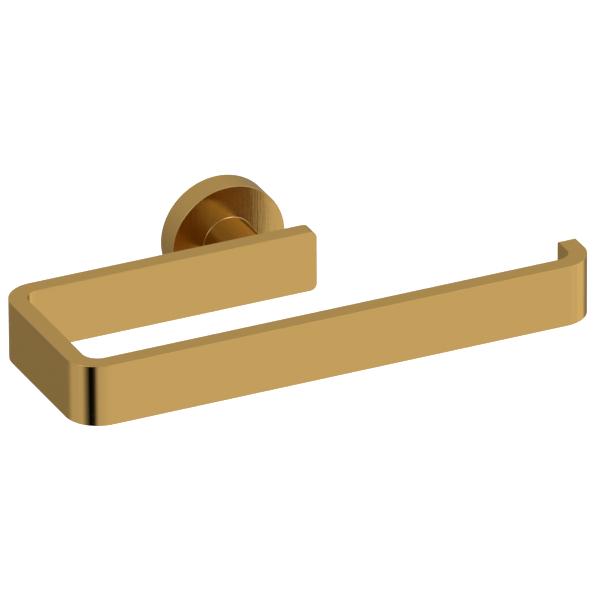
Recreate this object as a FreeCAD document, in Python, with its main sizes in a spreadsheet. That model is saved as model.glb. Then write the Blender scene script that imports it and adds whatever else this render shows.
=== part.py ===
import FreeCAD, Part
import Sketcher
import os

# All sizes are in mm. The wall is the plane y = 0, the holder stands out along -Y, +Z is up.
# The post's axis is the line x = 0, z = 0.

SIZES = [
    ("bar_length", 216.0),
    ("bar_depth", 76.0),
    ("bar_height", 25.0),
    ("bar_thickness", 7.25),
    ("bar_left_reach", 106.2),
    ("leg_right_reach", 23.9),
    ("hook_depth", 21.5),
    ("bend_inner_radius", 6.25),
    ("leg_corner_radius", 2.8),
    ("hook_corner_radius", 1.2),
    ("bar_edge_radius", 0.15),
    ("post_diameter", 21.0),
    ("post_stand_off", 21.0),
    ("post_edge_bevel", 0.3),
    ("rosette_diameter", 47.0),
    ("rosette_depth", 11.0),
    ("rosette_wall", 2.0),
    ("rosette_rim_radius", 0.2),
    ("rosette_bore_gap", 0.1),
    ("rosette_lip_width", 0.3),
    ("rosette_lip_height", 0.2),
    ("collar_wall", 3.3),
    ("collar_height", 1.5),
    ("ring_cord_diameter", 1.5),
    ("ring_fit_gap", 0.02),
    ("groove_width", 1.9),
    ("groove_lip", 0.8),
    ("plate_thickness", 3.0),
    ("plate_margin", 2.0),
    ("plate_bevel", 0.4),
    ("wall_screw_hole", 4.5),
    ("spigot_diameter", 13.0),
    ("spigot_flat_depth", 1.5),
    ("spigot_tip_bevel", 0.8),
    ("spigot_tip_margin", 1.0),
    ("sliding_gap", 0.05),
    ("fixing_gap", 0.01),
    ("spigot_screw_diameter", 4.0),
    ("spigot_screw_length", 10.0),
    ("spigot_screw_head", 7.5),
    ("spigot_screw_hole", 4.4),
    ("spigot_tap_depth", 9.0),
    ("countersink_diameter", 7.8),
    ("spigot_socket_width", 2.5),
    ("spigot_socket_depth", 1.3),
    ("spigot_pin_diameter", 1.5),
    ("spigot_pin_length", 5.0),
    ("spigot_pin_inset", 0.7),
    ("spigot_pin_wall", 0.75),
    ("spigot_pin_end_gap", 0.3),
    ("set_screw_diameter", 5.0),
    ("set_screw_set_back", 3.5),
    ("set_screw_recess", 0.48),
    ("set_screw_tip_gap", 0.02),
    ("set_screw_tip_bevel", 0.6),
    ("set_screw_socket", 2.5),
    ("bar_screw_diameter", 6.0),
    ("bar_screw_hole", 6.6),
    ("bar_screw_head", 10.0),
    ("bar_screw_head_height", 6.0),
    ("bar_screw_socket", 5.0),
    ("bar_screw_socket_depth", 3.0),
    ("bar_screw_head_gap", 1.4),
    ("bar_screw_skin", 1.85),
    ("bar_tap_skin", 1.25),
    ("washer_thickness", 1.6),
    ("washer_bore", 6.1),
    ("washer_rim_gap", 0.65),
    ("washer_split", 0.9),
    ("bar_pin_diameter", 3.0),
    ("bar_pin_wall", 1.0),
    ("bar_pin_skin", 1.95),
    ("bar_pin_hole_skin", 1.65),
    ("bar_pin_web_skin", 0.7),
    ("bar_pin_hole_web_skin", 0.4),
]

DERIVED = [
    ("post_radius", "post_diameter / 2"),
    ("spigot_radius", "spigot_diameter / 2"),
    ("rosette_radius", "rosette_diameter / 2"),
    ("rosette_inner_radius", "rosette_radius - rosette_wall"),
    ("rosette_bore_radius", "post_radius + rosette_bore_gap"),
    ("collar_radius", "rosette_bore_radius + collar_wall"),
    ("collar_back", "rosette_depth - rosette_wall - collar_height"),
    ("ring_centre_radius", "post_radius + ring_fit_gap + ring_cord_diameter / 2"),
    ("groove_radius", "ring_centre_radius + ring_cord_diameter / 2 + ring_fit_gap"),
    ("groove_front", "rosette_depth - groove_lip"),
    ("groove_back", "groove_front - groove_width"),
    ("ring_y", "(groove_front + groove_back) / 2"),
    ("plate_radius", "rosette_inner_radius - plate_margin"),
    ("wall_screw_offset", "(post_radius + plate_radius) / 2"),
    ("bar_back", "rosette_depth + post_stand_off"),
    ("bar_front", "bar_back + bar_depth"),
    ("bar_right", "bar_length - bar_left_reach"),
    ("bend_outer_radius", "bend_inner_radius + bar_thickness"),
    ("set_screw_y", "rosette_depth + set_screw_set_back"),
    ("spigot_tip", "set_screw_y + set_screw_diameter / 2 + spigot_tip_margin"),
    ("spigot_flat", "spigot_radius - spigot_flat_depth"),
    ("post_bore_radius", "spigot_radius + sliding_gap"),
    ("washer_back", "spigot_tip + bar_screw_head_gap + bar_screw_head_height"),
    ("post_bore_floor", "washer_back + washer_thickness"),
    ("washer_radius", "post_bore_radius - washer_rim_gap"),
    ("post_web", "bar_back - post_bore_floor"),
    ("bar_screw_tip", "bar_back + bar_thickness - bar_screw_skin"),
    ("bar_pin_offset", "post_radius - bar_pin_diameter / 2 - bar_pin_wall"),
    ("spigot_pin_offset", "spigot_radius - spigot_pin_diameter / 2 - spigot_pin_wall"),
    ("countersink_depth", "(countersink_diameter - spigot_screw_hole) / 2"),
    ("spigot_screw_inset", "(countersink_diameter - spigot_screw_head) / 2 - fixing_gap"),
    ("set_screw_length", "post_radius - spigot_flat - set_screw_tip_gap - set_screw_recess"),
]

TOWARDS_ROOM = FreeCAD.Rotation(FreeCAD.Vector(1, 0, 0), 90)
DOWN = FreeCAD.Rotation(FreeCAD.Vector(1, 0, 0), 180)
SHARP_DOT = 0.9
NEAR = 1e-3


def make_sizes(doc):
    sheet = doc.addObject("Spreadsheet::Sheet", "Sizes")
    row = 1
    for name, value in SIZES:
        sheet.set(f"A{row}", name)
        sheet.set(f"B{row}", str(value))
        sheet.setAlias(f"B{row}", name)
        row += 1
    for name, _ in DERIVED:
        sheet.set(f"A{row}", name)
        sheet.setAlias(f"B{row}", name)
        row += 1
    doc.recompute()
    row = len(SIZES) + 1
    for _, formula in DERIVED:
        sheet.set(f"B{row}", "=" + formula)
        row += 1
    doc.recompute()
    return sheet


def on_sheet(formula):
    """The same formula with every size name looked up in the sheet."""
    names = {name for name, _ in SIZES + DERIVED}
    word = ""
    text = ""
    for letter in formula + " ":
        if letter.isalnum() or letter == "_":
            word += letter
            continue
        text += "Sizes." + word if word in names else word
        text += letter
        word = ""
    return text.strip()


def bind(item, path, formula):
    item.setExpression(path, on_sheet(formula))


def new_body(doc, node):
    body = doc.addObject("PartDesign::Body", node)
    body.Label = node
    return body


def new_sketch(body, name, plane):
    sketch = body.newObject("Sketcher::SketchObject", name)
    origin_plane = [item for item in body.Origin.OriginFeatures if item.Role == plane][0]
    sketch.AttachmentSupport = [(origin_plane, "")]
    sketch.MapMode = "FlatFace"
    return sketch


def place_point(sketch, geometry, end, label, across, along):
    """Holds one point of the sketch at two formulas, measured from the sketch's origin."""
    for kind, axis, formula in (("DistanceX", "x", across), ("DistanceY", "y", along)):
        here = sketch.getPoint(geometry, end)
        value = here.x if axis == "x" else here.y
        index = sketch.addConstraint(Sketcher.Constraint(kind, -1, 1, geometry, end, value))
        sketch.renameConstraint(index, f"{label}_{axis}")
        bind(sketch, f"Constraints.{label}_{axis}", formula)


def read_formula(sheet, formula):
    sheet.set("D1", "=" + formula)
    sheet.recompute()
    return float(sheet.get("D1"))


def draw_outline(sketch, sheet, corners):
    """A closed outline with straight sides. Each corner is a pair of formulas."""
    points = []
    for across, along in corners:
        x = read_formula(sheet, across)
        y = read_formula(sheet, along)
        points.append(FreeCAD.Vector(x, y, 0))
    count = len(points)
    for i in range(count):
        sketch.addGeometry(Part.LineSegment(points[i], points[(i + 1) % count]), False)
    for i in range(count):
        sketch.addConstraint(Sketcher.Constraint("Coincident", i, 2, (i + 1) % count, 1))
    for i, (across, along) in enumerate(corners):
        place_point(sketch, i, 1, f"corner{i}", across, along)


def draw_circle(sketch, sheet, label, radius, across, along):
    x = read_formula(sheet, across)
    y = read_formula(sheet, along)
    size = read_formula(sheet, radius)
    circle = Part.Circle(FreeCAD.Vector(x, y, 0), FreeCAD.Vector(0, 0, 1), size)
    geometry = sketch.addGeometry(circle, False)
    index = sketch.addConstraint(Sketcher.Constraint("Radius", geometry, size))
    sketch.renameConstraint(index, f"{label}_radius")
    bind(sketch, f"Constraints.{label}_radius", radius)
    place_point(sketch, geometry, 3, label, across, along)


def turn_profile(body, sheet, name, corners):
    """A turned solid about the Y axis, from an outline of (radius, y) corners."""
    sketch = new_sketch(body, name + "Profile", "XY_Plane")
    draw_outline(sketch, sheet, corners)
    turned = body.newObject("PartDesign::Revolution", name + "Turned")
    turned.Profile = sketch
    turned.ReferenceAxis = (sketch, ["V_Axis"])
    turned.Angle = 360
    return turned


def cut_circles(body, sheet, name, plane, circles, depth, reverse):
    """A pocket of round holes. circles lists (label, radius, across, along)."""
    sketch = new_sketch(body, name + "Sketch", plane)
    for label, radius, across, along in circles:
        draw_circle(sketch, sheet, label, radius, across, along)
    pocket = body.newObject("PartDesign::Pocket", name)
    pocket.Profile = sketch
    pocket.Type = "Length"
    pocket.Reversed = reverse
    bind(pocket, "Length", depth)
    return sketch


def edges_where(shape, test):
    return [f"Edge{i + 1}" for i, edge in enumerate(shape.Edges) if test(edge)]


def runs_along(edge, axis):
    """True for a straight edge parallel to an axis: 0 for X, 1 for Y, 2 for Z."""
    if not isinstance(edge.Curve, (Part.Line, Part.LineSegment)):
        return False
    step = edge.Vertexes[-1].Point - edge.Vertexes[0].Point
    return abs(abs(step[axis]) - step.Length) < NEAR


def is_sharp(shape, edge):
    """True where the two faces beside an edge meet at a corner, not smoothly."""
    faces = shape.ancestorsOfType(edge, Part.Face)
    if len(faces) != 2:
        return False
    middle = edge.valueAt((edge.FirstParameter + edge.LastParameter) / 2)
    normals = []
    for face in faces:
        u, v = face.Surface.parameter(middle)
        normals.append(face.normalAt(u, v))
    return abs(normals[0].dot(normals[1])) < SHARP_DOT


def round_edges(body, name, base, edges, radius):
    fillet = body.newObject("PartDesign::Fillet", name)
    fillet.Base = (base, edges)
    bind(fillet, "Radius", radius)
    return fillet


def rod(doc, name, radius, height):
    item = doc.addObject("Part::Cylinder", name)
    bind(item, "Radius", radius)
    bind(item, "Height", height)
    return item


def put(item, rotation, x, y, z):
    """Turns a piece and binds where its own base point stands."""
    item.Placement = FreeCAD.Placement(FreeCAD.Vector(0, 0, 0), rotation)
    bind(item, "Placement.Base.x", x)
    bind(item, "Placement.Base.y", y)
    bind(item, "Placement.Base.z", z)


def hexagon(doc, name, width, height):
    """A hexagonal prism, sized across its flats."""
    item = doc.addObject("Part::Prism", name)
    item.Polygon = 6
    bind(item, "Circumradius", f"({width}) / sqrt(3)")
    bind(item, "Height", height)
    return item


def cone(doc, name, base_radius, top_radius, height):
    item = doc.addObject("Part::Cone", name)
    bind(item, "Radius1", base_radius)
    bind(item, "Radius2", top_radius)
    bind(item, "Height", height)
    return item


def join(doc, name, items):
    item = doc.addObject("Part::MultiFuse", name)
    item.Shapes = items
    item.Refine = True
    return item


def cut(doc, node, base, tool):
    item = doc.addObject("Part::Cut", node)
    item.Base = base
    item.Tool = tool
    item.Label = node
    return item


def make_paper_bar(doc, sheet):
    body = new_body(doc, "paper_bar")
    sketch = new_sketch(body, "BarOutline", "XY_Plane")
    inner_left = "bar_thickness - bar_left_reach"
    inner_right = "bar_right - bar_thickness"
    corners = [
        ("leg_right_reach", "-bar_back"),
        ("-bar_left_reach", "-bar_back"),
        ("-bar_left_reach", "-bar_front"),
        ("bar_right", "-bar_front"),
        ("bar_right", "hook_depth - bar_front"),
        (inner_right, "hook_depth - bar_front"),
        (inner_right, "bar_thickness - bar_front"),
        (inner_left, "bar_thickness - bar_front"),
        (inner_left, "-bar_back - bar_thickness"),
        ("leg_right_reach", "-bar_back - bar_thickness"),
    ]
    draw_outline(sketch, sheet, corners)
    pad = body.newObject("PartDesign::Pad", "BarPad")
    pad.Profile = sketch
    pad.Midplane = True
    bind(pad, "Length", "bar_height")
    doc.recompute()

    left = -sheet.bar_left_reach
    right = sheet.bar_right
    thickness = sheet.bar_thickness
    leg_end = sheet.leg_right_reach
    hook_end = sheet.hook_depth - sheet.bar_front

    def is_outer_bend(edge):
        if not runs_along(edge, 2):
            return False
        point = edge.Vertexes[0].Point
        at_side = min(abs(point.x - left), abs(point.x - right)) < NEAR
        return at_side and abs(point.y - hook_end) > NEAR

    def is_inner_bend(edge):
        if not runs_along(edge, 2):
            return False
        point = edge.Vertexes[0].Point
        gap = min(abs(point.x - left - thickness), abs(point.x - right + thickness))
        return gap < NEAR and abs(point.y - hook_end) > NEAR

    outer = edges_where(pad.Shape, is_outer_bend)
    outer_bends = round_edges(body, "OuterBends", pad, outer, "bend_outer_radius")
    doc.recompute()
    inner = edges_where(outer_bends.Shape, is_inner_bend)
    bends = round_edges(body, "InnerBends", outer_bends, inner, "bend_inner_radius")
    doc.recompute()

    def is_leg_corner(edge):
        return runs_along(edge, 1) and abs(edge.Vertexes[0].Point.x - leg_end) < NEAR

    def is_hook_corner(edge):
        return runs_along(edge, 0) and abs(edge.Vertexes[0].Point.y - hook_end) < NEAR

    leg_edges = edges_where(bends.Shape, is_leg_corner)
    leg = round_edges(body, "LegCorners", bends, leg_edges, "leg_corner_radius")
    doc.recompute()
    hook_edges = edges_where(leg.Shape, is_hook_corner)
    hook = round_edges(body, "HookCorners", leg, hook_edges, "hook_corner_radius")
    doc.recompute()
    sharp = edges_where(hook.Shape, lambda edge: is_sharp(hook.Shape, edge))
    round_edges(body, "BarEdges", hook, sharp, "bar_edge_radius")
    doc.recompute()

    screw_radius = "bar_screw_diameter / 2 + fixing_gap"
    pin_radius = "bar_pin_diameter / 2 + fixing_gap"
    tap_sketch = cut_circles(
        body, sheet, "ScrewTap", "XZ_Plane", [("tap", screw_radius, "0 mm", "0 mm")],
        "bar_thickness - bar_tap_skin", True,
    )
    bind(tap_sketch, "AttachmentOffset.Base.z", "bar_back")
    pin_sketch = cut_circles(
        body, sheet, "PinHole", "XZ_Plane", [("pin", pin_radius, "bar_pin_offset", "0 mm")],
        "bar_thickness - bar_pin_hole_skin", True,
    )
    bind(pin_sketch, "AttachmentOffset.Base.z", "bar_back")
    return body


def make_post(doc, sheet):
    body = new_body(doc, "post")
    hole = "bar_screw_hole / 2"
    corners = [
        (hole, "-post_bore_floor"),
        (hole, "-bar_back"),
        ("post_radius - post_edge_bevel", "-bar_back"),
        ("post_radius", "post_edge_bevel - bar_back"),
        ("post_radius", "-plate_thickness - post_edge_bevel"),
        ("post_radius - post_edge_bevel", "-plate_thickness"),
        ("post_bore_radius + post_edge_bevel", "-plate_thickness"),
        ("post_bore_radius", "-plate_thickness - post_edge_bevel"),
        ("post_bore_radius", "-post_bore_floor"),
    ]
    turn_profile(body, sheet, "Post", corners)
    pin_radius = "bar_pin_diameter / 2 + fixing_gap"
    pin_sketch = cut_circles(
        body, sheet, "BarPinHole", "XZ_Plane", [("pin", pin_radius, "bar_pin_offset", "0 mm")],
        "post_web - bar_pin_hole_web_skin", False,
    )
    bind(pin_sketch, "AttachmentOffset.Base.z", "bar_back")
    screw_radius = "set_screw_diameter / 2 + fixing_gap"
    cut_circles(
        body, sheet, "SetScrewTap", "XY_Plane", [("tap", screw_radius, "0 mm", "-set_screw_y")],
        "post_diameter", False,
    )
    return body


def make_rosette(doc, sheet):
    body = new_body(doc, "rosette")
    bore = "rosette_bore_radius"
    corners = [
        ("rosette_radius", "0 mm"),
        ("rosette_radius", "-rosette_depth"),
        (bore + " + rosette_lip_width", "-rosette_depth"),
        (bore, "-rosette_depth - rosette_lip_height"),
        (bore, "-groove_front"),
        ("groove_radius", "-groove_front"),
        ("groove_radius", "-groove_back"),
        (bore, "-groove_back"),
        (bore, "-collar_back"),
        ("collar_radius", "-collar_back"),
        ("collar_radius", "rosette_wall - rosette_depth"),
        ("rosette_inner_radius", "rosette_wall - rosette_depth"),
        ("rosette_inner_radius", "0 mm"),
    ]
    turned = turn_profile(body, sheet, "Rosette", corners)
    doc.recompute()
    radius = sheet.rosette_diameter / 2
    depth = sheet.rosette_depth

    def is_front_rim(edge):
        if not isinstance(edge.Curve, Part.Circle):
            return False
        at_front = abs(edge.Curve.Center.y + depth) < NEAR
        return at_front and abs(edge.Curve.Radius - radius) < NEAR

    rim = edges_where(turned.Shape, is_front_rim)
    round_edges(body, "RosetteRim", turned, rim, "rosette_rim_radius")
    return body


def make_rosette_ring(doc):
    ring = doc.addObject("Part::Torus", "rosette_ring")
    bind(ring, "Radius1", "ring_centre_radius")
    bind(ring, "Radius2", "ring_cord_diameter / 2")
    put(ring, TOWARDS_ROOM, "0 mm", "-ring_y", "0 mm")
    ring.Label = "rosette_ring"
    return ring


def make_wall_plate(doc, sheet):
    body = new_body(doc, "wall_plate")
    hole = "spigot_screw_hole / 2"
    corners = [
        (hole, "-plate_thickness"),
        (hole, "-countersink_depth"),
        ("countersink_diameter / 2", "0 mm"),
        ("plate_radius - plate_bevel", "0 mm"),
        ("plate_radius", "-plate_bevel"),
        ("plate_radius", "plate_bevel - plate_thickness"),
        ("plate_radius - plate_bevel", "-plate_thickness"),
    ]
    turn_profile(body, sheet, "Plate", corners)
    screw_radius = "wall_screw_hole / 2"
    circles = [
        ("left", screw_radius, "-wall_screw_offset", "0 mm"),
        ("right", screw_radius, "wall_screw_offset", "0 mm"),
        ("pin", "spigot_pin_diameter / 2 + fixing_gap", "0 mm", "spigot_pin_offset"),
    ]
    cut_circles(body, sheet, "PlateHoles", "XZ_Plane", circles, "plate_thickness", True)
    return body


def make_spigot(doc, sheet):
    body = new_body(doc, "spigot")
    tap = "spigot_screw_diameter / 2 + fixing_gap"
    corners = [
        ("0 mm", "-plate_thickness - spigot_tap_depth"),
        ("0 mm", "-spigot_tip"),
        ("spigot_radius - spigot_tip_bevel", "-spigot_tip"),
        ("spigot_radius", "spigot_tip_bevel - spigot_tip"),
        ("spigot_radius", "-plate_thickness"),
        (tap, "-plate_thickness"),
        (tap, "-plate_thickness - spigot_tap_depth"),
    ]
    turn_profile(body, sheet, "Spigot", corners)
    pin_radius = "spigot_pin_diameter / 2 + fixing_gap"
    pin_depth = "spigot_pin_inset + spigot_pin_length + spigot_pin_end_gap - plate_thickness"
    pin_sketch = cut_circles(
        body, sheet, "SpigotPinHole", "XZ_Plane",
        [("pin", pin_radius, "0 mm", "spigot_pin_offset")], pin_depth, True,
    )
    bind(pin_sketch, "AttachmentOffset.Base.z", "plate_thickness")
    flat = new_sketch(body, "FlatOutline", "XZ_Plane")
    edge_corners = [
        ("-spigot_radius", "-spigot_flat"),
        ("spigot_radius", "-spigot_flat"),
        ("spigot_radius", "-spigot_diameter"),
        ("-spigot_radius", "-spigot_diameter"),
    ]
    draw_outline(flat, sheet, edge_corners)
    bind(flat, "AttachmentOffset.Base.z", "plate_thickness")
    pocket = body.newObject("PartDesign::Pocket", "SetScrewFlat")
    pocket.Profile = flat
    pocket.Reversed = True
    bind(pocket, "Length", "spigot_tip")
    return body


def make_spigot_screw(doc):
    inset = "-spigot_screw_inset"
    drop = "(spigot_screw_head - spigot_screw_diameter) / 2"
    head = cone(doc, "SpigotScrewHead", "spigot_screw_head / 2", "spigot_screw_diameter / 2", drop)
    put(head, TOWARDS_ROOM, "0 mm", inset, "0 mm")
    shank = rod(doc, "SpigotScrewShank", "spigot_screw_diameter / 2", "spigot_screw_length")
    put(shank, TOWARDS_ROOM, "0 mm", inset, "0 mm")
    socket = hexagon(doc, "SpigotScrewSocket", "spigot_socket_width", "spigot_socket_depth")
    put(socket, TOWARDS_ROOM, "0 mm", inset, "0 mm")
    return cut(doc, "spigot_screw", join(doc, "SpigotScrewBlank", [head, shank]), socket)


def make_spigot_pin(doc):
    pin = rod(doc, "spigot_pin", "spigot_pin_diameter / 2", "spigot_pin_length")
    put(pin, TOWARDS_ROOM, "0 mm", "-spigot_pin_inset", "spigot_pin_offset")
    pin.Label = "spigot_pin"
    return pin


def make_set_screw(doc):
    top = "-spigot_flat - set_screw_tip_gap"
    radius = "set_screw_diameter / 2"
    tip = cone(doc, "SetScrewTip", radius + " - set_screw_tip_bevel", radius, "set_screw_tip_bevel")
    put(tip, DOWN, "0 mm", "-set_screw_y", top)
    stem = rod(doc, "SetScrewStem", radius, "set_screw_length - set_screw_tip_bevel")
    put(stem, DOWN, "0 mm", "-set_screw_y", top + " - set_screw_tip_bevel")
    socket = hexagon(doc, "SetScrewSocket", "set_screw_socket", "set_screw_length / 2")
    put(socket, DOWN, "0 mm", "-set_screw_y", top + " - set_screw_length / 2")
    return cut(doc, "set_screw", join(doc, "SetScrewBlank", [tip, stem]), socket)


def make_bar_screw(doc):
    seat = "-washer_back"
    head = rod(doc, "BarScrewHead", "bar_screw_head / 2", "bar_screw_head_height")
    put(head, TOWARDS_ROOM, "0 mm", "bar_screw_head_height - washer_back", "0 mm")
    shank = rod(doc, "BarScrewShank", "bar_screw_diameter / 2", "bar_screw_tip - washer_back")
    put(shank, TOWARDS_ROOM, "0 mm", seat, "0 mm")
    socket = hexagon(doc, "BarScrewSocket", "bar_screw_socket", "bar_screw_socket_depth")
    put(socket, TOWARDS_ROOM, "0 mm", "bar_screw_head_height - washer_back", "0 mm")
    return cut(doc, "bar_screw", join(doc, "BarScrewBlank", [head, shank]), socket)


def make_bar_screw_washer(doc):
    disc = rod(doc, "WasherDisc", "washer_radius", "washer_thickness")
    put(disc, TOWARDS_ROOM, "0 mm", "-washer_back", "0 mm")
    bore = rod(doc, "WasherBore", "washer_bore / 2", "washer_thickness")
    put(bore, TOWARDS_ROOM, "0 mm", "-washer_back", "0 mm")
    split = doc.addObject("Part::Box", "WasherSplit")
    bind(split, "Length", "washer_split")
    bind(split, "Width", "washer_radius * 2")
    bind(split, "Height", "washer_thickness")
    put(split, TOWARDS_ROOM, "-washer_split / 2", "-washer_back", "0 mm")
    return cut(doc, "bar_screw_washer", disc, join(doc, "WasherOpenings", [bore, split]))


def make_bar_pin(doc):
    start = "post_web - bar_pin_web_skin"
    pin = rod(doc, "bar_pin", "bar_pin_diameter / 2", start + " + bar_thickness - bar_pin_skin")
    put(pin, TOWARDS_ROOM, "bar_pin_offset", start + " - bar_back", "0 mm")
    pin.Label = "bar_pin"
    return pin


def check_objects(doc):
    for item in doc.Objects:
        if "Invalid" in item.State or "Error" in item.State:
            raise RuntimeError(f"{item.Label} did not build: {item.State}")


def export_nodes(nodes):
    os.makedirs("parts", exist_ok=True)
    for node in nodes:
        shape = node.Shape
        if shape.isNull() or not shape.isValid():
            raise RuntimeError(f"{node.Label} has no valid shape")
        shape.exportStep(f"parts/{node.Label}.step")
        print(node.Label, round(shape.Volume, 1), "mm3,", len(shape.Solids), "solid")


def main():
    doc = FreeCAD.newDocument("ToiletPaperHolder")
    sheet = make_sizes(doc)
    nodes = [
        make_paper_bar(doc, sheet),
        make_post(doc, sheet),
        make_rosette(doc, sheet),
        make_rosette_ring(doc),
        make_wall_plate(doc, sheet),
        make_spigot(doc, sheet),
        make_spigot_screw(doc),
        make_spigot_pin(doc),
        make_set_screw(doc),
        make_bar_screw(doc),
        make_bar_screw_washer(doc),
        make_bar_pin(doc),
    ]
    doc.recompute()
    check_objects(doc)
    export_nodes(nodes)


main()
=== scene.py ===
import bpy
import math
from mathutils import Matrix, Vector


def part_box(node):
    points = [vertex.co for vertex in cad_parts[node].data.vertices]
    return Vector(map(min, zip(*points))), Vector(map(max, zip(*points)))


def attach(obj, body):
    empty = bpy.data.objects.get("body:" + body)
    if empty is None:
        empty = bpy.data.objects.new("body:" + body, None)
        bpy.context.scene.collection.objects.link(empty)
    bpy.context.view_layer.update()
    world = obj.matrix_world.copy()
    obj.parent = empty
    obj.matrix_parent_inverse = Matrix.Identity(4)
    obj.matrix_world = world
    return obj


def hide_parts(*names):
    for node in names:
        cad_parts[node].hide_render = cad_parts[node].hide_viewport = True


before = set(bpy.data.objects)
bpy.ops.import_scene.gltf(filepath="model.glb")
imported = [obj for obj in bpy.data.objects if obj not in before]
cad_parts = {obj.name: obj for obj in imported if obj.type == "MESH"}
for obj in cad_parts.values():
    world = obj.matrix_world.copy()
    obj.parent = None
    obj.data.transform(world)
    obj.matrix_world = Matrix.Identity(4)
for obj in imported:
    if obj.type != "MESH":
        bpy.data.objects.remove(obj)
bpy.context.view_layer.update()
mm = 0.001
near = 0.002 * mm
print("frame loaded:", len(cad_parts), "nodes")


# hand tools

def clearSelection():
    bpy.ops.object.select_all(action="DESELECT")


def workOn(piece):
    clearSelection()
    piece.select_set(True)
    bpy.context.view_layer.objects.active = piece


def nameNew(name):
    piece = bpy.context.object
    piece.name = name
    piece.data.name = name
    return piece


def settle(piece):
    # place, turn and scale go into the mesh
    workOn(piece)
    bpy.ops.object.transform_apply(location=True, rotation=True, scale=True)


def pick(piece, kind, test):
    # leaves the piece in edit mode with only the matching faces or edges selected
    workOn(piece)
    bpy.ops.object.mode_set(mode="EDIT")
    bpy.ops.mesh.select_mode(type=kind)
    bpy.ops.mesh.select_all(action="DESELECT")
    bpy.ops.object.mode_set(mode="OBJECT")
    mesh = piece.data
    if kind == "FACE":
        for face in mesh.polygons:
            face.select = test(face.center, face.normal)
    else:
        for edge in mesh.edges:
            ends = [mesh.vertices[i].co for i in edge.vertices]
            edge.select = test(ends[0], ends[1])
    bpy.ops.object.mode_set(mode="EDIT")


def leaveEdit():
    bpy.ops.object.mode_set(mode="OBJECT")


def closeAndTurnOut(piece):
    # merged first, then every face turned outwards
    workOn(piece)
    bpy.ops.object.mode_set(mode="EDIT")
    bpy.ops.mesh.select_all(action="SELECT")
    bpy.ops.mesh.remove_doubles(threshold=near / 2)
    bpy.ops.mesh.normals_make_consistent(inside=False)
    leaveEdit()


def applyModifier(piece, modifier):
    workOn(piece)
    bpy.ops.object.modifier_apply(modifier=modifier.name)


def softenEdges(piece, width, segments, angle=40):
    bevel = piece.modifiers.new("softEdges", "BEVEL")
    bevel.width = width
    bevel.segments = segments
    bevel.limit_method = "ANGLE"
    bevel.angle_limit = math.radians(angle)
    bevel.use_clamp_overlap = True
    applyModifier(piece, bevel)


def smoothShade(piece, angle=35):
    workOn(piece)
    bpy.ops.object.shade_smooth_by_angle(angle=math.radians(angle))
    weighted = piece.modifiers.new("flatFacesFlat", "WEIGHTED_NORMAL")
    weighted.keep_sharp = True
    weighted.weight = 100
    applyModifier(piece, weighted)


def cutWith(piece, cutter):
    boolean = piece.modifiers.new("cut", "BOOLEAN")
    boolean.operation = "DIFFERENCE"
    boolean.solver = "EXACT"
    boolean.object = cutter
    applyModifier(piece, boolean)
    bpy.data.objects.remove(cutter, do_unlink=True)


def turnProfile(name, rings, closed, segments):
    # a ring of edges is drawn out along the post's axis, one (radius, y) step after another
    clearSelection()
    startRadius, startY = rings[0]
    bpy.ops.mesh.primitive_circle_add(
        vertices=segments, radius=startRadius, location=(0, startY, 0),
        rotation=(math.radians(90), 0, 0),
    )
    piece = nameNew(name)
    settle(piece)
    bpy.ops.object.mode_set(mode="EDIT")
    bpy.ops.mesh.select_mode(type="EDGE")
    bpy.ops.mesh.select_all(action="SELECT")
    radius, y = startRadius, startY
    steps = rings[1:] + [rings[0]] if closed else rings[1:]
    for nextRadius, nextY in steps:
        bpy.ops.mesh.extrude_region_move(TRANSFORM_OT_translate={"value": (0, nextY - y, 0)})
        factor = nextRadius / radius
        bpy.ops.transform.resize(value=(factor, 1, factor), center_override=(0, nextY, 0))
        radius, y = nextRadius, nextY
    if not closed:
        bpy.ops.mesh.edge_face_add()
        leaveEdit()

        def startEdge(a, b):
            return onRing(a, startRadius, startY) and onRing(b, startRadius, startY)

        pick(piece, "EDGE", startEdge)
        bpy.ops.mesh.edge_face_add()
    leaveEdit()
    closeAndTurnOut(piece)
    return piece


def onRing(point, radius, y):
    return abs(math.hypot(point.x, point.z) - radius) < near and abs(point.y - y) < near


# how far a face's normal leans towards an axis, for a face square to it and one along it
flatEnough = 0.75
uprightEnough = 0.1


def turnedMap(piece, uprightFace):
    # u runs across the brush lines and v along them, both in metres
    # the lines go round the post's axis, and straight up and down on an upright face
    mesh = piece.data
    layer = mesh.uv_layers.new(name="brushLines")
    for face in mesh.polygons:
        level = abs(face.normal.y) > flatEnough
        faceAngle = math.atan2(face.center.z, face.center.x)
        for corner in face.loop_indices:
            point = mesh.vertices[mesh.loops[corner].vertex_index].co
            if level and uprightFace:
                layer.data[corner].uv = (point.x, point.z)
                continue
            fromAxis = math.hypot(point.x, point.z)
            turned = math.atan2(point.z, point.x) - faceAngle
            turned = (turned + math.pi) % (2 * math.pi) - math.pi
            across = fromAxis if level else point.y
            layer.data[corner].uv = (across, (faceAngle + turned) * fromAxis)


def drill(piece, radius, place, depth, sides=48, tilt=90):
    # a round or six-sided hole along the post's axis, or up and down with no tilt
    clearSelection()
    bpy.ops.mesh.primitive_cylinder_add(
        vertices=sides, radius=radius, depth=depth, location=place,
        rotation=(math.radians(tilt), 0, 0),
    )
    cutter = nameNew("drill")
    settle(cutter)
    cutWith(piece, cutter)


# where the flat top of a thread's ridge starts and ends, as shares of the pitch
ridgeTop = (0.35, 0.65)


def threadRidges(radius, start, end, pitch, depth):
    # the steps of a thread's ridges and valleys, from start to end
    count = round(abs(end - start) / pitch)
    step = (end - start) / count
    rings = []
    for i in range(count):
        rings.append((radius - depth, start + step * i))
        for share in ridgeTop:
            rings.append((radius, start + step * (i + share)))
    rings.append((radius - depth, end))
    return rings


# the bent flat bar

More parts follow.
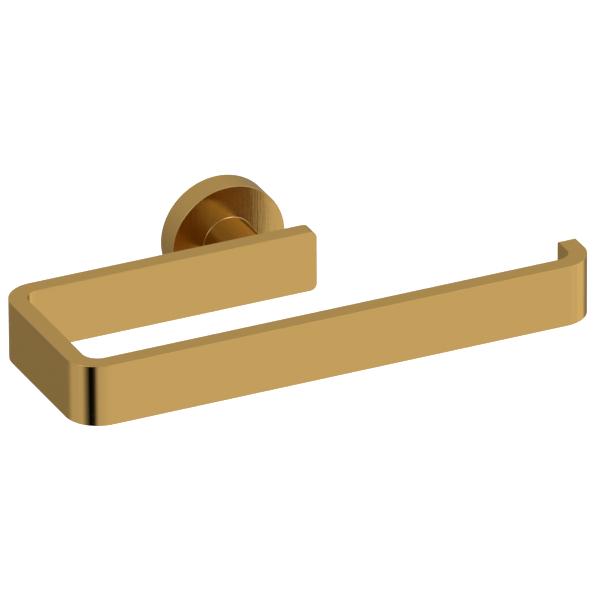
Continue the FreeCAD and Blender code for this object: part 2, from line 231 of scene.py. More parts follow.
barLow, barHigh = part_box("paper_bar")
bar = {
    "thickness": 7.25 * mm,
    "bendInside": 6.25 * mm,
    "hookDepth": 21.5 * mm,
    "legEnd": 23.9 * mm,
    "legCorner": 2.8 * mm,
    "legCornerSteps": 12,
    "hookCorner": 1.2 * mm,
    "hookCornerSteps": 8,
    "edge": 0.15 * mm,
    "edgeSteps": 4,
    "bendSteps": 32,
}


def barRoute():
    # the bar's middle line: straight runs and quarter turns, from the leg's end to the hook's end
    half = bar["thickness"] / 2
    radius = bar["bendInside"] + half
    left, right = barLow.x + half, barHigh.x - half
    back, front = barHigh.y - half, barLow.y + half
    hookEnd = barLow.y + bar["hookDepth"]
    return [
        ("run", Vector((bar["legEnd"], back, 0)), Vector((left + radius, back, 0))),
        ("turn", Vector((left + radius, back - radius, 0)), 90),
        ("run", Vector((left, back - radius, 0)), Vector((left, front + radius, 0))),
        ("turn", Vector((left + radius, front + radius, 0)), 180),
        ("run", Vector((left + radius, front, 0)), Vector((right - radius, front, 0))),
        ("turn", Vector((right - radius, front + radius, 0)), 270),
        ("run", Vector((right, front + radius, 0)), Vector((right, hookEnd, 0))),
    ]


def alongRoute(point):
    # (distance along the bar, distance across it) of a point of the bar
    radius = bar["bendInside"] + bar["thickness"] / 2
    done = 0
    best = None
    for stretch in barRoute():
        if stretch[0] == "run":
            start, end = stretch[1], stretch[2]
            length = (end - start).length
            way = (end - start) / length
            step = point - start
            far = min(max(step.dot(way), 0), length)
            side = step.x * way.y - step.y * way.x
            miss = abs(step.dot(way) - far) + abs(side)
        else:
            centre, startAngle = stretch[1], stretch[2]
            length = radius * math.pi / 2
            turned = math.degrees(math.atan2(point.y - centre.y, point.x - centre.x)) - startAngle
            turned = (turned + 180) % 360 - 180
            inTurn = min(max(turned, 0), 90)
            far = radius * math.radians(inTurn)
            side = radius - math.hypot(point.x - centre.x, point.y - centre.y)
            miss = abs(side) + radius * math.radians(abs(turned - inTurn))
        if best is None or miss < best[0]:
            best = (miss, done + far, side)
        done += length
    return best[1], best[2]


def makeBar():
    route = barRoute()
    start = route[0][1]
    clearSelection()
    bpy.ops.mesh.primitive_plane_add(size=1, location=start, rotation=(0, math.radians(90), 0))
    piece = nameNew("goldBar")
    settle(piece)
    bpy.ops.object.mode_set(mode="EDIT")
    bpy.ops.mesh.select_all(action="SELECT")
    height = barHigh.z - barLow.z
    bpy.ops.transform.resize(value=(1, bar["thickness"], height), center_override=start)
    bpy.ops.mesh.delete(type="ONLY_FACE")
    bpy.ops.mesh.select_mode(type="EDGE")
    bpy.ops.mesh.select_all(action="SELECT")
    for stretch in route:
        if stretch[0] == "run":
            way = stretch[2] - stretch[1]
            bpy.ops.mesh.extrude_region_move(TRANSFORM_OT_translate={"value": way})
        else:
            bpy.ops.mesh.spin(
                steps=bar["bendSteps"], angle=math.radians(90), center=stretch[1], axis=(0, 0, -1),
            )
    bpy.ops.mesh.edge_face_add()
    leaveEdit()

    def atLegEnd(a, b):
        return abs(a.x - start.x) < near and abs(b.x - start.x) < near

    pick(piece, "EDGE", atLegEnd)
    bpy.ops.mesh.edge_face_add()
    leaveEdit()
    closeAndTurnOut(piece)

    hookEnd = route[-1][2].y

    def legCorner(a, b):
        return atLegEnd(a, b) and abs(a.z - b.z) < near

    def hookCorner(a, b):
        atEnd = abs(a.y - hookEnd) < near and abs(b.y - hookEnd) < near
        return atEnd and abs(a.z - b.z) < near

    pick(piece, "EDGE", legCorner)
    bpy.ops.mesh.bevel(offset=bar["legCorner"], segments=bar["legCornerSteps"], affect="EDGES")
    leaveEdit()
    pick(piece, "EDGE", hookCorner)
    bpy.ops.mesh.bevel(offset=bar["hookCorner"], segments=bar["hookCornerSteps"], affect="EDGES")
    leaveEdit()
    softenEdges(piece, bar["edge"], bar["edgeSteps"])
    smoothShade(piece)
    brushMap(piece)
    return piece


def brushMap(piece):
    # u runs across the brush lines and v along them, both in metres
    mesh = piece.data
    layer = mesh.uv_layers.new(name="brushLines")
    for face in mesh.polygons:
        onTop = abs(face.normal.z) > flatEnough
        for corner in face.loop_indices:
            point = mesh.vertices[mesh.loops[corner].vertex_index].co
            along, across = alongRoute(point)
            layer.data[corner].uv = (across, along) if onTop else (along, point.z)


goldBar = makeBar()
print("bar made:", len(goldBar.data.polygons), "faces")

# the round post

postLow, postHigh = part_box("post")
post = {
    "radius": 10.5 * mm,
    "bore": 6.55 * mm,
    "boreFloor": -27 * mm,
    "screwHole": 3.3 * mm,
    "edge": 0.3 * mm,
    "edgeSteps": 3,
    "setScrewPlace": -14.5 * mm,
    "setScrewTap": 2.51 * mm,
    "setScrewTapSides": 64,
    "segments": 128,
}


def makePost():
    rings = [
        (post["radius"], postLow.y),
        (post["radius"], postHigh.y),
        (post["bore"], postHigh.y),
        (post["bore"], post["boreFloor"]),
        (post["screwHole"], post["boreFloor"]),
        (post["screwHole"], postLow.y),
    ]
    piece = turnProfile("goldPost", rings, True, post["segments"])
    softenEdges(piece, post["edge"], post["edgeSteps"])
    tapPlace = (0, post["setScrewPlace"], -post["radius"])
    drill(
        piece, post["setScrewTap"], tapPlace, post["radius"],
        sides=post["setScrewTapSides"], tilt=0,
    )
    smoothShade(piece)
    turnedMap(piece, False)
    return piece


goldPost = makePost()
print("post made:", len(goldPost.data.polygons), "faces")

# the rosette

rosetteLow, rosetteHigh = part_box("rosette")
rosette = {
    "radius": 23.5 * mm,
    "wall": 2 * mm,
    "rim": 0.2 * mm,
    "rimSteps": 8,
    "bore": 10.54 * mm,
    "collar": 13.9 * mm,
    "collarBack": -7.5 * mm,
    "groove": 12.05 * mm,
    "grooveFront": -10.2 * mm,
    "grooveBack": -8.3 * mm,
    "lipWidth": 0.2 * mm,
    "lipHeight": 0.2 * mm,
    "front": -11 * mm,
    "segments": 160,
}


def makeRosette():
    front, back = rosette["front"], rosetteHigh.y
    discBack = front + rosette["wall"]
    inside = rosette["radius"] - rosette["wall"]
    rings = [
        (rosette["radius"], back),
        (rosette["radius"], front),
        (rosette["bore"] + rosette["lipWidth"], front),
        (rosette["bore"], front - rosette["lipHeight"]),
        (rosette["bore"], rosette["grooveFront"]),
        (rosette["groove"], rosette["grooveFront"]),
        (rosette["groove"], rosette["grooveBack"]),
        (rosette["bore"], rosette["grooveBack"]),
        (rosette["bore"], rosette["collarBack"]),
        (rosette["collar"], rosette["collarBack"]),
        (rosette["collar"], discBack),
        (inside, discBack),
        (inside, back),
    ]
    piece = turnProfile("goldRosette", rings, True, rosette["segments"])

    def frontRim(a, b):
        return onRing(a, rosette["radius"], front) and onRing(b, rosette["radius"], front)

    pick(piece, "EDGE", frontRim)
    bpy.ops.mesh.bevel(offset=rosette["rim"], segments=rosette["rimSteps"], affect="EDGES")
    leaveEdit()
    smoothShade(piece)
    turnedMap(piece, True)
    return piece


goldRosette = makeRosette()
print("rosette made:", len(goldRosette.data.polygons), "faces")

# the wall plate behind the rosette, and the spigot that it carries

plateLow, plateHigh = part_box("wall_plate")
plate = {
    "edge": 0.4 * mm,
    "centreHole": 2.2 * mm,
    "countersink": 3.9 * mm,
    "screwHole": 2.25 * mm,
    "screwOffset": 15 * mm,
    "screwHoleEdge": 0.5 * mm,
    "screwHoleEdgeSteps": 3,
    "rimPlay": 0.02 * mm,
    "pinHole": 0.76 * mm,
    "pinHeight": 5 * mm,
    "segments": 128,
}
spigotLow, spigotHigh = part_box("spigot")
spigot = {
    "radius": 6.5 * mm,
    "tipBevel": 0.8 * mm,
    "tap": 2.01 * mm,
    "tapEnd": -12 * mm,
    "flat": -5 * mm,
    "pinHoleEnd": -6 * mm,
    "edge": 0.15 * mm,
    "edgeSteps": 2,
    "segments": 96,
}


def makeWallPlate():
    radius = plateHigh.x
    edge = plate["edge"]
    sink = plate["countersink"] - plate["centreHole"]
    rings = [
        (plate["centreHole"], plateLow.y),
        (plate["centreHole"], plateHigh.y - sink),
        (plate["countersink"], plateHigh.y),
        (radius - edge, plateHigh.y),
        (radius, plateHigh.y - edge),
        (radius, plateLow.y + edge),
        (radius - edge, plateLow.y),
    ]
    piece = turnProfile("wallPlate", rings, True, plate["segments"])
    middle = (plateLow.y + plateHigh.y) / 2
    through = 2 * (plateHigh.y - plateLow.y)
    for side in (-1, 1):
        drill(piece, plate["screwHole"], (side * plate["screwOffset"], middle, 0), through)
    drill(piece, plate["pinHole"], (0, middle, plate["pinHeight"]), through)

    def screwHoleRim(a, b):
        onRim = True
        for end in (a, b):
            fromHole = math.hypot(abs(end.x) - plate["screwOffset"], end.z)
            onRim = onRim and abs(fromHole - plate["screwHole"]) < plate["rimPlay"]
        return onRim and abs(a.y - b.y) < plate["rimPlay"] and a.y < middle

    pick(piece, "EDGE", screwHoleRim)
    bpy.ops.mesh.bevel(
        offset=plate["screwHoleEdge"], segments=plate["screwHoleEdgeSteps"], affect="EDGES",
    )
    leaveEdit()
    smoothShade(piece)
    return piece


def makeSpigot():
    tipBevel = spigot["tipBevel"]
    rings = [
        (spigot["tap"], spigot["tapEnd"]),
        (spigot["tap"], spigotHigh.y),
        (spigot["radius"], spigotHigh.y),
        (spigot["radius"], spigotLow.y + tipBevel),
        (spigot["radius"] - tipBevel, spigotLow.y),
    ]
    piece = turnProfile("spigotStub", rings, False, spigot["segments"])
    workOn(piece)
    bpy.ops.object.mode_set(mode="EDIT")
    bpy.ops.mesh.select_all(action="SELECT")
    bpy.ops.mesh.bisect(
        plane_co=(0, 0, spigot["flat"]), plane_no=(0, 0, -1), use_fill=True, clear_outer=True,
    )
    leaveEdit()
    pinPlace = (0, spigotHigh.y, plate["pinHeight"])
    drill(piece, plate["pinHole"], pinPlace, 2 * (spigotHigh.y - spigot["pinHoleEnd"]))
    softenEdges(piece, spigot["edge"], spigot["edgeSteps"])
    smoothShade(piece)
    return piece


wallPlate = makeWallPlate()
spigotStub = makeSpigot()
print("wall plate made:", len(wallPlate.data.polygons), "faces")
print("spigot made:", len(spigotStub.data.polygons), "faces")

# the screws, the washer and the pins

stepGap = 0.02 * mm
spigotScrew = {
    "head": 3.75 * mm,
    "shank": 2 * mm,
    "pitch": 0.7 * mm,
    "threadDepth": 0.3 * mm,
    "socket": 2.5 * mm,
    "socketDepth": 1.3 * mm,
    "segments": 64,
}
barScrew = {
    "head": 5 * mm,
    "headHeight": 6 * mm,
    "headBevel": 0.4 * mm,
    "knurlDepth": 0.12 * mm,
    "knurlRib": 0.06 * mm,
    "shank": 3 * mm,
    "plainShank": 2 * mm,
    "pitch": 1 * mm,
    "threadDepth": 0.45 * mm,
    "tipBevel": 0.5 * mm,
    "socket": 5 * mm,
    "socketDepth": 3 * mm,
    "segments": 72,
}
setScrew = {
    "radius": 2.5 * mm,
    "pitch": 0.8 * mm,
    "threadDepth": 0.32 * mm,
    "tip": 1.9 * mm,
    "cup": 1.3 * mm,
    "cupDepth": 0.45 * mm,
    "tipBevel": 0.6 * mm,
    "endBevel": 0.35 * mm,
    "socket": 2.5 * mm,
    "socketDepth": 2.5 * mm,
    "segments": 64,
}
washer = {
    "bore": 3.05 * mm,
    "split": 0.9 * mm,
    "edge": 0.15 * mm,
    "edgeSteps": 2,
    "segments": 96,
}
pin = {
    "bevelShare": 0.2,
    "bevelLength": 0.3 * mm,
    "segments": 48,
}


def makeSpigotScrew():
    low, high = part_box("spigot_screw")
    cone = spigotScrew["head"] - spigotScrew["shank"]
    depth = spigotScrew["threadDepth"]
    rings = [
        (spigotScrew["head"] - depth, high.y),
        (spigotScrew["head"], high.y - stepGap),
        (spigotScrew["shank"], high.y - cone - stepGap),
    ]
    threadStart, threadEnd = high.y - cone - depth, low.y + depth
    rings += threadRidges(
        spigotScrew["shank"], threadStart, threadEnd, spigotScrew["pitch"], depth,
    )
    rings.append((spigotScrew["shank"] - 2 * depth, low.y))
    piece = turnProfile("spigotScrew", rings, False, spigotScrew["segments"])
    hexRadius = spigotScrew["socket"] / math.sqrt(3)
    drill(piece, hexRadius, (0, high.y, 0), 2 * spigotScrew["socketDepth"], sides=6)
    smoothShade(piece)
    return piece


def makeBarScrew():
    low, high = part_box("bar_screw")
    head, bevel = barScrew["head"], barScrew["headBevel"]
    seat = high.y - barScrew["headHeight"]
    threadStart = seat - barScrew["plainShank"]
    rings = [
        (head - bevel, high.y),
        (head, high.y - bevel),
        (head, seat + bevel / 2),
        (head - bevel / 2, seat),
        (barScrew["shank"], seat),
        (barScrew["shank"], threadStart + stepGap),
    ]
    threadEnd = low.y + barScrew["tipBevel"]
    rings += threadRidges(
        barScrew["shank"], threadStart, threadEnd, barScrew["pitch"], barScrew["threadDepth"],
    )
    rings.append((barScrew["shank"] - 2 * barScrew["tipBevel"], low.y))
    piece = turnProfile("barScrew", rings, False, barScrew["segments"])

    def headSide(centre, normal):
        onSide = math.hypot(centre.x, centre.z) > head - bevel / 4
        return onSide and abs(normal.y) < uprightEnough and centre.y > seat

    pick(piece, "FACE", headSide)
    bpy.ops.mesh.inset(
        thickness=barScrew["knurlRib"], depth=-barScrew["knurlDepth"], use_individual=True,
    )
    leaveEdit()
    hexRadius = barScrew["socket"] / math.sqrt(3)
    drill(piece, hexRadius, (0, high.y, 0), 2 * barScrew["socketDepth"], sides=6)
    smoothShade(piece)
    return piece


def makeSetScrew():
    # turned along the post's axis, then stood upright under the post
    low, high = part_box("set_screw")
    radius, depth = setScrew["radius"], setScrew["threadDepth"]
    rings = [
        (stepGap, high.z - setScrew["cupDepth"]),
        (setScrew["cup"], high.z),
        (setScrew["tip"], high.z),
        (radius - depth / 2, high.z - setScrew["tipBevel"]),
    ]
    threadStart = high.z - setScrew["tipBevel"] - stepGap
    threadEnd = low.z + setScrew["endBevel"]
    rings += threadRidges(radius, threadStart, threadEnd, setScrew["pitch"], depth)
    rings.append((radius - depth - setScrew["endBevel"] / 2, low.z))
    piece = turnProfile("setScrew", rings, False, setScrew["segments"])
    piece.rotation_euler = (math.radians(90), 0, 0)
    piece.location = (0, (low.y + high.y) / 2, 0)
    settle(piece)
    hexRadius = setScrew["socket"] / math.sqrt(3)
    socketPlace = (0, (low.y + high.y) / 2, low.z)
    drill(piece, hexRadius, socketPlace, 2 * setScrew["socketDepth"], sides=6, tilt=0)
    smoothShade(piece)
    return piece


def makeWasher():
    low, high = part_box("bar_screw_washer")
    rings = [(high.x, high.y), (high.x, low.y), (washer["bore"], low.y), (washer["bore"], high.y)]
    piece = turnProfile("springWasher", rings, True, washer["segments"])
    clearSelection()
    bpy.ops.mesh.primitive_cube_add(size=1, location=(0, (low.y + high.y) / 2, high.x))
    cutter = nameNew("splitCutter")
    cutter.scale = (washer["split"], 2 * (high.y - low.y), 2 * high.x)
    settle(cutter)
    cutWith(piece, cutter)
    softenEdges(piece, washer["edge"], washer["edgeSteps"])
    smoothShade(piece)
    return piece


def makePin(name, node):
    low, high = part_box(node)
    radius = (high.x - low.x) / 2
    endRadius = radius * (1 - pin["bevelShare"])
    rings = [
        (endRadius, high.y),
        (radius, high.y - pin["bevelLength"]),
        (radius, low.y + pin["bevelLength"]),
        (endRadius, low.y),
    ]
    piece = turnProfile(name, rings, False, pin["segments"])
    piece.location = ((low.x + high.x) / 2, 0, (low.z + high.z) / 2)
    settle(piece)
    smoothShade(piece)
    return piece


spigotScrewPiece = makeSpigotScrew()
barScrewPiece = makeBarScrew()
setScrewPiece = makeSetScrew()
washerPiece = makeWasher()
spigotPin = makePin("spigotPin", "spigot_pin")
barPin = makePin("barPin", "bar_pin")
print("screws, washer and pins made")

# finishes

gold = {
    "colour": (0.545, 0.342, 0.107, 1),
    "paleLine": (0.575, 0.362, 0.112, 1),
    "edgeTint": (0.86, 0.755, 0.59, 1),
    "lineDetail": 3,
    "lineRoughness": 0.6,
}
barLines = {
    "roughness": (0.07, 0.11), "stretch": 0, "width": 0.22 * mm, "length": 30 * mm,
    "bump": 0.12, "bumpDepth": 0.01 * mm,
}
turnedLines = {
    "roughness": (0.09, 0.14), "stretch": 0, "width": 0.2 * mm, "length": 40 * mm,
    "bump": 0.2, "bumpDepth": 0.01 * mm,
}
rosetteLines = {
    "roughness": (0.12, 0.17), "stretch": 0.9, "width": 0.55 * mm, "length": 40 * mm,
    "bump": 1, "bumpDepth": 0.07 * mm,
}


def newMaterial(name):
    material = bpy.data.materials.new(name)
    material.use_nodes = True
    nodes = material.node_tree.nodes
    links = material.node_tree.links
    shader = nodes["Principled BSDF"]
    return material, nodes, links, shader


def brushedGold(name, brushed):
    # fine lines along the piece's own map; stretch spreads reflections across the lines
    material, nodes, links, shader = newMaterial(name)
    shader.inputs["Metallic"].default_value = 1
    shader.inputs["Specular Tint"].default_value = gold["edgeTint"]
    shader.inputs["Anisotropic"].default_value = brushed["stretch"]
    if brushed["stretch"]:
        across = nodes.new("ShaderNodeTangent")
        across.direction_type = "UV_MAP"
        across.uv_map = "brushLines"
        links.new(across.outputs["Tangent"], shader.inputs["Tangent"])
    source = nodes.new("ShaderNodeUVMap")
    source.uv_map = "brushLines"
    mapping = nodes.new("ShaderNodeMapping")
    mapping.inputs["Scale"].default_value = (1 / brushed["width"], 1 / brushed["length"], 1)
    links.new(source.outputs["UV"], mapping.inputs["Vector"])
    lines = nodes.new("ShaderNodeTexNoise")
    lines.inputs["Scale"].default_value = 1
    lines.inputs["Detail"].default_value = gold["lineDetail"]
    lines.inputs["Roughness"].default_value = gold["lineRoughness"]
    links.new(mapping.outputs["Vector"], lines.inputs["Vector"])
    tint = nodes.new("ShaderNodeMix")
    tint.data_type = "RGBA"
    tint.inputs["A"].default_value = gold["colour"]
    tint.inputs["B"].default_value = gold["paleLine"]
    links.new(lines.outputs["Fac"], tint.inputs["Factor"])
    links.new(tint.outputs["Result"], shader.inputs["Base Color"])
    rough = nodes.new("ShaderNodeMapRange")
    rough.inputs["To Min"].default_value = brushed["roughness"][0]
    rough.inputs["To Max"].default_value = brushed["roughness"][1]
    links.new(lines.outputs["Fac"], rough.inputs["Value"])
    links.new(rough.outputs["Result"], shader.inputs["Roughness"])
    bump = nodes.new("ShaderNodeBump")
    bump.inputs["Strength"].default_value = brushed["bump"]
    bump.inputs["Distance"].default_value = brushed["bumpDepth"]
    links.new(lines.outputs["Fac"], bump.inputs["Height"])
    links.new(bump.outputs["Normal"], shader.inputs["Normal"])
    return material


def wear(piece, material):
    piece.data.materials.clear()
    piece.data.materials.append(material)


metals = {
    "plainSteel": {
        "dark": (0.36, 0.36, 0.35, 1), "pale": (0.56, 0.56, 0.55, 1), "roughness": (0.24, 0.4),
        "grain": 0.25 * mm, "bump": 0.15,
    },
    "spigotBrass": {
        "dark": (0.45, 0.29, 0.09, 1), "pale": (0.66, 0.47, 0.18, 1), "roughness": (0.2, 0.36),
        "grain": 0.2 * mm, "bump": 0.2,
    },
    "zincSteel": {
        "dark": (0.44, 0.46, 0.48, 1), "pale": (0.66, 0.68, 0.7, 1), "roughness": (0.26, 0.42),
        "grain": 0.5 * mm, "bump": 0.1,
    },
    "darkSteel": {
        "dark": (0.03, 0.03, 0.034, 1), "pale": (0.09, 0.09, 0.1, 1), "roughness": (0.3, 0.5),
        "grain": 0.4 * mm, "bump": 0.12,
    },
}
rubber = {
    "dark": (0.012, 0.012, 0.012, 1),
    "pale": (0.03, 0.03, 0.031, 1),
    "roughness": (0.5, 0.72),
    "grain": 0.3 * mm,
    "bump": 0.25,
}


grainDetail = 4
grainDepth = 0.01 * mm


def grainyFinish(name, values, metallic, turned):
    # turned parts have rings about the post's axis, the others a fine even grain
    material, nodes, links, shader = newMaterial(name)
    shader.inputs["Metallic"].default_value = metallic
    place = nodes.new("ShaderNodeTexCoord")
    grain = nodes.new("ShaderNodeTexNoise")
    grain.inputs["Scale"].default_value = 1 / values["grain"]
    grain.inputs["Detail"].default_value = grainDetail
    if turned:
        flatten = nodes.new("ShaderNodeVectorMath")
        flatten.operation = "MULTIPLY"
        flatten.inputs[1].default_value = (1, 0, 1)
        links.new(place.outputs["Object"], flatten.inputs[0])
        fromAxis = nodes.new("ShaderNodeVectorMath")
        fromAxis.operation = "LENGTH"
        links.new(flatten.outputs["Vector"], fromAxis.inputs[0])
        split = nodes.new("ShaderNodeSeparateXYZ")
        links.new(place.outputs["Object"], split.inputs["Vector"])
        rings = nodes.new("ShaderNodeCombineXYZ")
        links.new(fromAxis.outputs["Value"], rings.inputs["X"])
        links.new(split.outputs["Y"], rings.inputs["Y"])
        links.new(rings.outputs["Vector"], grain.inputs["Vector"])
    else:
        links.new(place.outputs["Object"], grain.inputs["Vector"])
    tint = nodes.new("ShaderNodeMix")
    tint.data_type = "RGBA"
    tint.inputs["A"].default_value = values["dark"]
    tint.inputs["B"].default_value = values["pale"]
    links.new(grain.outputs["Fac"], tint.inputs["Factor"])
    links.new(tint.outputs["Result"], shader.inputs["Base Color"])
    rough = nodes.new("ShaderNodeMapRange")
    rough.inputs["To Min"].default_value = values["roughness"][0]
    rough.inputs["To Max"].default_value = values["roughness"][1]
    links.new(grain.outputs["Fac"], rough.inputs["Value"])
    links.new(rough.outputs["Result"], shader.inputs["Roughness"])
    bump = nodes.new("ShaderNodeBump")
    bump.inputs["Strength"].default_value = values["bump"]
    bump.inputs["Distance"].default_value = grainDepth
    links.new(grain.outputs["Fac"], bump.inputs["Height"])
    links.new(bump.outputs["Normal"], shader.inputs["Normal"])
    return material


barGold = brushedGold("brushedGoldBar", barLines)
postGold = brushedGold("brushedGoldTurned", turnedLines)
rosetteGold = brushedGold("brushedGoldRosette", rosetteLines)
plainSteel = grainyFinish("plainSteel", metals["plainSteel"], 1, True)
spigotBrass = grainyFinish("spigotBrass", metals["spigotBrass"], 1, True)
zincSteel = grainyFinish("zincSteel", metals["zincSteel"], 1, False)
darkSteel = grainyFinish("darkSteel", metals["darkSteel"], 1, False)
blackRubber = grainyFinish("blackRubber", rubber, 0, False)

# each new piece: its finish, the body it rides on, the node it stands for, the slot
placing = [
    (goldBar, barGold, "holder", "paper_bar", "gold_bar"),
    (goldPost, postGold, "holder", "post", "gold_turned"),
    (goldRosette, rosetteGold, "cover", "rosette", "gold_rosette"),
    (wallPlate, plainSteel, "bracket", "wall_plate", "plain_steel"),
    (spigotStub, spigotBrass, "bracket", "spigot", "spigot_brass"),
    (spigotScrewPiece, zincSteel, "bracket", "spigot_screw", "zinc_steel"),
    (spigotPin, zincSteel, "bracket", "spigot_pin", "zinc_steel"),
    (barScrewPiece, darkSteel, "holder", "bar_screw", "dark_steel"),
    (washerPiece, zincSteel, "holder", "bar_screw_washer", "zinc_steel"),
    (barPin, zincSteel, "holder", "bar_pin", "zinc_steel"),
    (setScrewPiece, darkSteel, "grub", "set_screw", "dark_steel"),
]
for piece, material, body, node, slot in placing:
    wear(piece, material)
    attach(piece, body)
    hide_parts(node)
wear(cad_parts["rosette_ring"], blackRubber)
print("finishes on")

# floor, light and camera

# lamps: name, azimuth and elevation in degrees, distance, size, watts, seen in the metal
# shades and lights: (degrees round from -X, level); gapUp counts 0 to 360 from straight down to up
studio = {
    "lamps": [
        ("overheadLamp", -90, 82, 2.2, 3, 60, False),
        ("edgeLamp", -50, 54, 1.5, 0.6, 1.2, True),
        ("rimLamp", -160, 42, 1.5, 0.8, 4, True),
    ],
    "flagPlace": Vector((-100.4, -105.6, -17)) * mm,
    "flagRadius": 60 * mm,
    "flagHeight": 66 * mm,
    "flagSides": 180,
    "flagSpan": (8, 74),
    "flagShade": [
        (10, 0.8), (16, 0.66), (21, 0.44), (27, 0.24), (33, 0.10), (38, 0), (46, 0.005),
        (52, 0.02), (57, 0.08), (60, 0.28), (64, 0.48), (70, 0.79),
    ],
    "lowLight": [
        (0, 0.83), (80, 0.87), (95, 0.95), (115, 0.985), (128, 0.99), (137, 1.045),
        (144, 1.045), (150, 0.99), (160, 1.12), (184, 1.12), (203, 0.44), (240, 0.36),
        (314, 0.41), (336, 0.79),
    ],
    "highLight": [
        (0, 0.9), (20, 1.1), (40, 0.8), (55, 0.52), (75, 0.55), (115, 0.85), (125, 0.95),
        (140, 1.4), (170, 1.2), (215, 0.74), (300, 0.66),
    ],
    "blendHeight": 0.45,
    "gapAround": [(32, 1), (42, 0), (58, 0), (68, 1)],
    "gapUp": [(132, 1), (148, 0), (225, 0), (250, 1)],
    "gapLevel": 0.35,
    "floorColour": (0.95, 0.95, 0.95, 1),
    "floorRoughness": 0.9,
    "floorDrop": 0.45,
    "floorSize": 60,
    "target": Vector((3.82, -66.88, 0.05)) * mm,
    "azimuth": -24.93,
    "elevation": 26.8,
    "roll": -0.3,
    "distance": 5.83,
    "lens": 924,
    "sight": 60,
}


def makeFloor():
    clearSelection()
    floorPlace = (0, 0, -studio["floorDrop"])
    bpy.ops.mesh.primitive_plane_add(size=studio["floorSize"], location=floorPlace)
    floor = nameNew("floor")
    material, nodes, links, shader = newMaterial("paleFloor")
    shader.inputs["Base Color"].default_value = studio["floorColour"]
    shader.inputs["Roughness"].default_value = studio["floorRoughness"]
    shader.inputs["Specular IOR Level"].default_value = 0
    wear(floor, material)
    floor.visible_glossy = False


def ramp(nodes, stops):
    node = nodes.new("ShaderNodeValToRGB")
    elements = node.color_ramp.elements
    while len(elements) > 1:
        elements.remove(elements[-1])
    for i, (degrees, level) in enumerate(stops):
        element = elements[0] if i == 0 else elements.new(degrees / 360)
        element.position = degrees / 360
        element.color = (level, level, level, 1)
    return node


def turnAround(nodes, links, place):
    # the azimuth of a place or direction, 0 to 1 from -X round to -X, and its height
    split = nodes.new("ShaderNodeSeparateXYZ")
    links.new(place, split.inputs["Vector"])
    angle = nodes.new("ShaderNodeMath")
    angle.operation = "ARCTAN2"
    links.new(split.outputs["Y"], angle.inputs[0])
    links.new(split.outputs["X"], angle.inputs[1])
    turn = nodes.new("ShaderNodeMapRange")
    turn.inputs["From Min"].default_value = -math.pi
    turn.inputs["From Max"].default_value = math.pi
    links.new(angle.outputs["Value"], turn.inputs["Value"])
    return turn.outputs["Result"], split.outputs["Z"]


def makeFlag():
    # a curved card beside the bar's front left bend, dark in the middle, seen only in the metal
    clearSelection()
    bpy.ops.mesh.primitive_cylinder_add(
        vertices=studio["flagSides"], radius=studio["flagRadius"], depth=studio["flagHeight"],
        end_fill_type="NOTHING", location=studio["flagPlace"],
    )
    flag = nameNew("darkFlag")
    first, last = studio["flagSpan"]

    def outside(centre, normal):
        around = math.degrees(math.atan2(centre.y, centre.x)) + 180
        return not first < around < last

    pick(flag, "FACE", outside)
    bpy.ops.mesh.delete(type="FACE")
    leaveEdit()
    material, nodes, links, shader = newMaterial("flagCard")
    place = nodes.new("ShaderNodeTexCoord")
    turn = turnAround(nodes, links, place.outputs["Object"])[0]
    shade = ramp(nodes, studio["flagShade"])
    links.new(turn, shade.inputs["Fac"])
    glow = nodes.new("ShaderNodeEmission")
    links.new(shade.outputs["Color"], glow.inputs["Color"])
    links.new(glow.outputs["Emission"], nodes["Material Output"].inputs["Surface"])
    wear(flag, material)
    for ray in ("visible_camera", "visible_diffuse", "visible_shadow", "visible_transmission"):
        setattr(flag, ray, False)


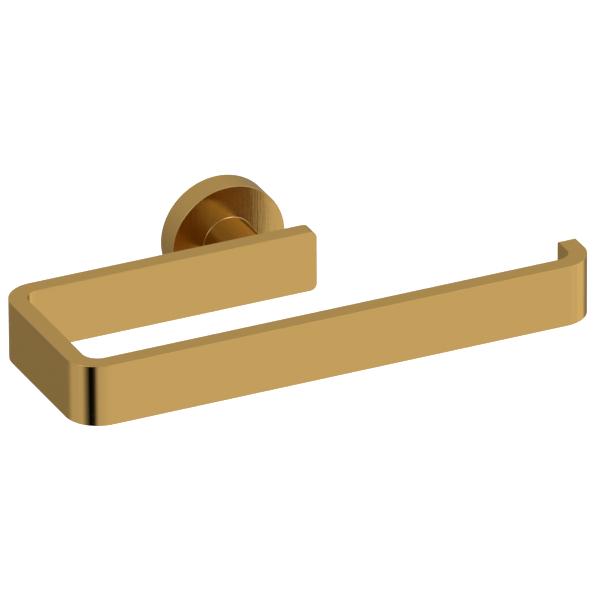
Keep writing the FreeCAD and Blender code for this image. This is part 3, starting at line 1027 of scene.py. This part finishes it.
def makeStudioLight():
    # soft light all round, bright in front and dimmer behind
    world = bpy.data.worlds.new("studio")
    bpy.context.scene.world = world
    world.use_nodes = True
    nodes = world.node_tree.nodes
    links = world.node_tree.links
    background = nodes["Background"]
    direction = nodes.new("ShaderNodeTexCoord")
    turn, height = turnAround(nodes, links, direction.outputs["Generated"])
    low = ramp(nodes, studio["lowLight"])
    high = ramp(nodes, studio["highLight"])
    links.new(turn, low.inputs["Fac"])
    links.new(turn, high.inputs["Fac"])
    lift = nodes.new("ShaderNodeMapRange")
    lift.inputs["From Min"].default_value = -studio["blendHeight"]
    lift.inputs["From Max"].default_value = studio["blendHeight"]
    links.new(height, lift.inputs["Value"])
    blend = nodes.new("ShaderNodeMix")
    blend.data_type = "RGBA"
    links.new(lift.outputs["Result"], blend.inputs["Factor"])
    links.new(low.outputs["Color"], blend.inputs["A"])
    links.new(high.outputs["Color"], blend.inputs["B"])
    # a dim gap between the soft boxes, level with the object on the front left
    gapAround = ramp(nodes, studio["gapAround"])
    links.new(turn, gapAround.inputs["Fac"])
    gapUp = ramp(nodes, studio["gapUp"])
    halfTurn = nodes.new("ShaderNodeMapRange")
    halfTurn.inputs["From Min"].default_value = -1
    links.new(height, halfTurn.inputs["Value"])
    links.new(halfTurn.outputs["Result"], gapUp.inputs["Fac"])
    gap = nodes.new("ShaderNodeMath")
    gap.operation = "MAXIMUM"
    links.new(gapAround.outputs["Color"], gap.inputs[0])
    links.new(gapUp.outputs["Color"], gap.inputs[1])
    dim = nodes.new("ShaderNodeMapRange")
    dim.inputs["To Min"].default_value = studio["gapLevel"]
    links.new(gap.outputs["Value"], dim.inputs["Value"])
    dimmed = nodes.new("ShaderNodeVectorMath")
    dimmed.operation = "SCALE"
    links.new(blend.outputs["Result"], dimmed.inputs[0])
    links.new(dim.outputs["Result"], dimmed.inputs["Scale"])
    rays = nodes.new("ShaderNodeLightPath")
    seen = nodes.new("ShaderNodeMix")  # the backdrop itself is plain white
    seen.data_type = "RGBA"
    seen.inputs["B"].default_value = (1, 1, 1, 1)
    links.new(rays.outputs["Is Camera Ray"], seen.inputs["Factor"])
    links.new(dimmed.outputs["Vector"], seen.inputs["A"])
    links.new(seen.outputs["Result"], background.inputs["Color"])
    for name, around, up, away, size, watts, mirrored in studio["lamps"]:
        around, up = math.radians(around), math.radians(up)
        level = math.cos(up)
        way = Vector((math.cos(around) * level, math.sin(around) * level, math.sin(up)))
        bpy.ops.object.light_add(type="AREA", location=way * away)
        lamp = nameNew(name)
        lamp.rotation_euler = way.to_track_quat("Z", "Y").to_euler()
        lamp.data.size = size
        lamp.data.energy = watts
        lamp.visible_glossy = mirrored
        lamp.visible_camera = False


def makeCamera():
    bpy.ops.object.camera_add()
    camera = nameNew("camera")
    azimuth, elevation = math.radians(studio["azimuth"]), math.radians(studio["elevation"])
    back = Vector((
        math.sin(azimuth) * math.cos(elevation),
        -math.cos(azimuth) * math.cos(elevation),
        math.sin(elevation),
    ))
    camera.location = studio["target"] + back * studio["distance"]
    facing = (-back).to_track_quat("-Z", "Y").to_matrix()
    roll = Matrix.Rotation(math.radians(studio["roll"]), 3, "Z")
    camera.rotation_euler = (facing @ roll).to_euler()
    camera.data.lens = studio["lens"]
    camera.data.clip_end = studio["sight"]
    bpy.context.scene.camera = camera


makeFloor()
makeFlag()
makeStudioLight()
makeCamera()
bpy.context.scene.view_settings.view_transform = "Standard"
print("stage set")
